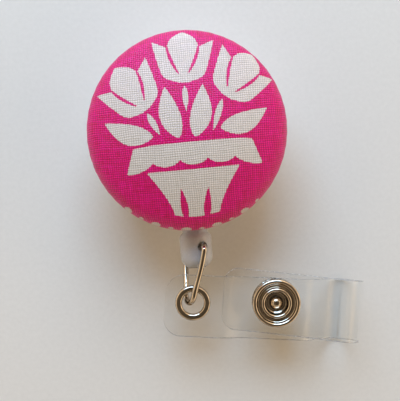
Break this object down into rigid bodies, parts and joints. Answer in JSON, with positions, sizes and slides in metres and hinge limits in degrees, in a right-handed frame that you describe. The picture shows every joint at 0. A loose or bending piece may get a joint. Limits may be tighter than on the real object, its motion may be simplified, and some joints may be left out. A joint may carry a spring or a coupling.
{
  "type": "retractable badge reel",
  "caption": "Round retractable reel with a cloth-covered button face, spring-steel belt clip, swivelling wire bail and a clear snap strap that folds through a badge slot.",
  "frame": {"origin": "on the reel's axis, on the outer flat face of the belt clip's tongue, which the reel lies on", "axes": "+Z out of the button's face, -Y the way the cord leaves the case, +X to the right seen from the button's side"},
  "size_m": [0.0515, 0.0628, 0.0205],
  "materials": {
    "cloth": "plain-weave cotton with a printed or woven motif",
    "steel": "plain",
    "foam": "double-sided foam tape",
    "whitePlastic": "satin",
    "bellPlastic": "slightly translucent",
    "nickel": "nickel plate with fine scratches",
    "springSteel": "plain",
    "nylonCord": "braided nylon",
    "clearVinyl": "clear soft vinyl"
  },
  "bodies": {
    "case": {"fabric_cover": "cloth", "button_shell": "steel", "button_back": "steel", "adhesive_pad": "foam", "front_case": "whitePlastic", "back_case": "whitePlastic", "centre_rivet": "nickel", "spool_washer": "steel", "spiral_spring": "springSteel", "clip_base": "nickel"},
    "clip_tongue": {"clip_tongue": "nickel"},
    "spool": {"spool": "whitePlastic", "cord_coil": "nylonCord"},
    "cord_end": {"cord_run": "nylonCord", "cord_knot": "nylonCord"},
    "bell": {"bell_shell": "bellPlastic"},
    "bail": {"wire_bail": "nickel"},
    "strap": {"strap_lower": "clearVinyl", "eyelet": "nickel", "eyelet_washer": "nickel", "snap_stud": "nickel", "stud_ring": "nickel"},
    "flap": {"strap_upper": "clearVinyl", "snap_socket": "nickel", "socket_ring": "nickel"}
  },
  "joints": [
    {"name": "cord_pull", "type": "slide", "parent": "case", "child": "cord_end", "axis": [0, -1, 0], "range_m": [0, 0.86], "stiffness_N_per_m": 0.6, "springref_m": -1.2, "deforming": ["cord_run"]},
    {"name": "spool_spin", "type": "hinge", "parent": "case", "child": "spool", "pos_m": [0, 0, 0.008], "axis": [0, 0, -1], "range_deg": [0, 4440], "deforming": ["spiral_spring"]},
    {"name": "bell_swivel", "type": "hinge", "parent": "cord_end", "child": "bell", "pos_m": [0, -0.0224, 0.008], "axis": [0, -1, 0], "continuous": true},
    {"name": "bail_pivot", "type": "hinge", "parent": "bell", "child": "bail", "pos_m": [0, -0.0224, 0.008], "axis": [0.4384, 0, 0.8988], "range_deg": [-70, 45]},
    {"name": "strap_turn", "type": "hinge", "parent": "bail", "child": "strap", "pos_m": [-0.0014, -0.0332, 0.009], "axis": [0, 0, 1], "range_deg": [-115, 10]},
    {"name": "flap_open", "type": "hinge", "parent": "strap", "child": "flap", "pos_m": [0.03149, -0.03776, 0.0055], "axis": [0.1521, 0.9884, 0], "range_deg": [0, 150]},
    {"name": "clip_flex", "type": "hinge", "parent": "case", "child": "clip_tongue", "pos_m": [0, 0.0149, 0.0019], "axis": [1, 0, 0], "range_deg": [0, 10], "stiffness_Nm_per_rad": 0.5, "springref_deg": -5.73}
  ],
  "couplings": [
    {"joint": "spool_spin", "follows": "cord_pull", "rad_per_m": 90.03}
  ]
}
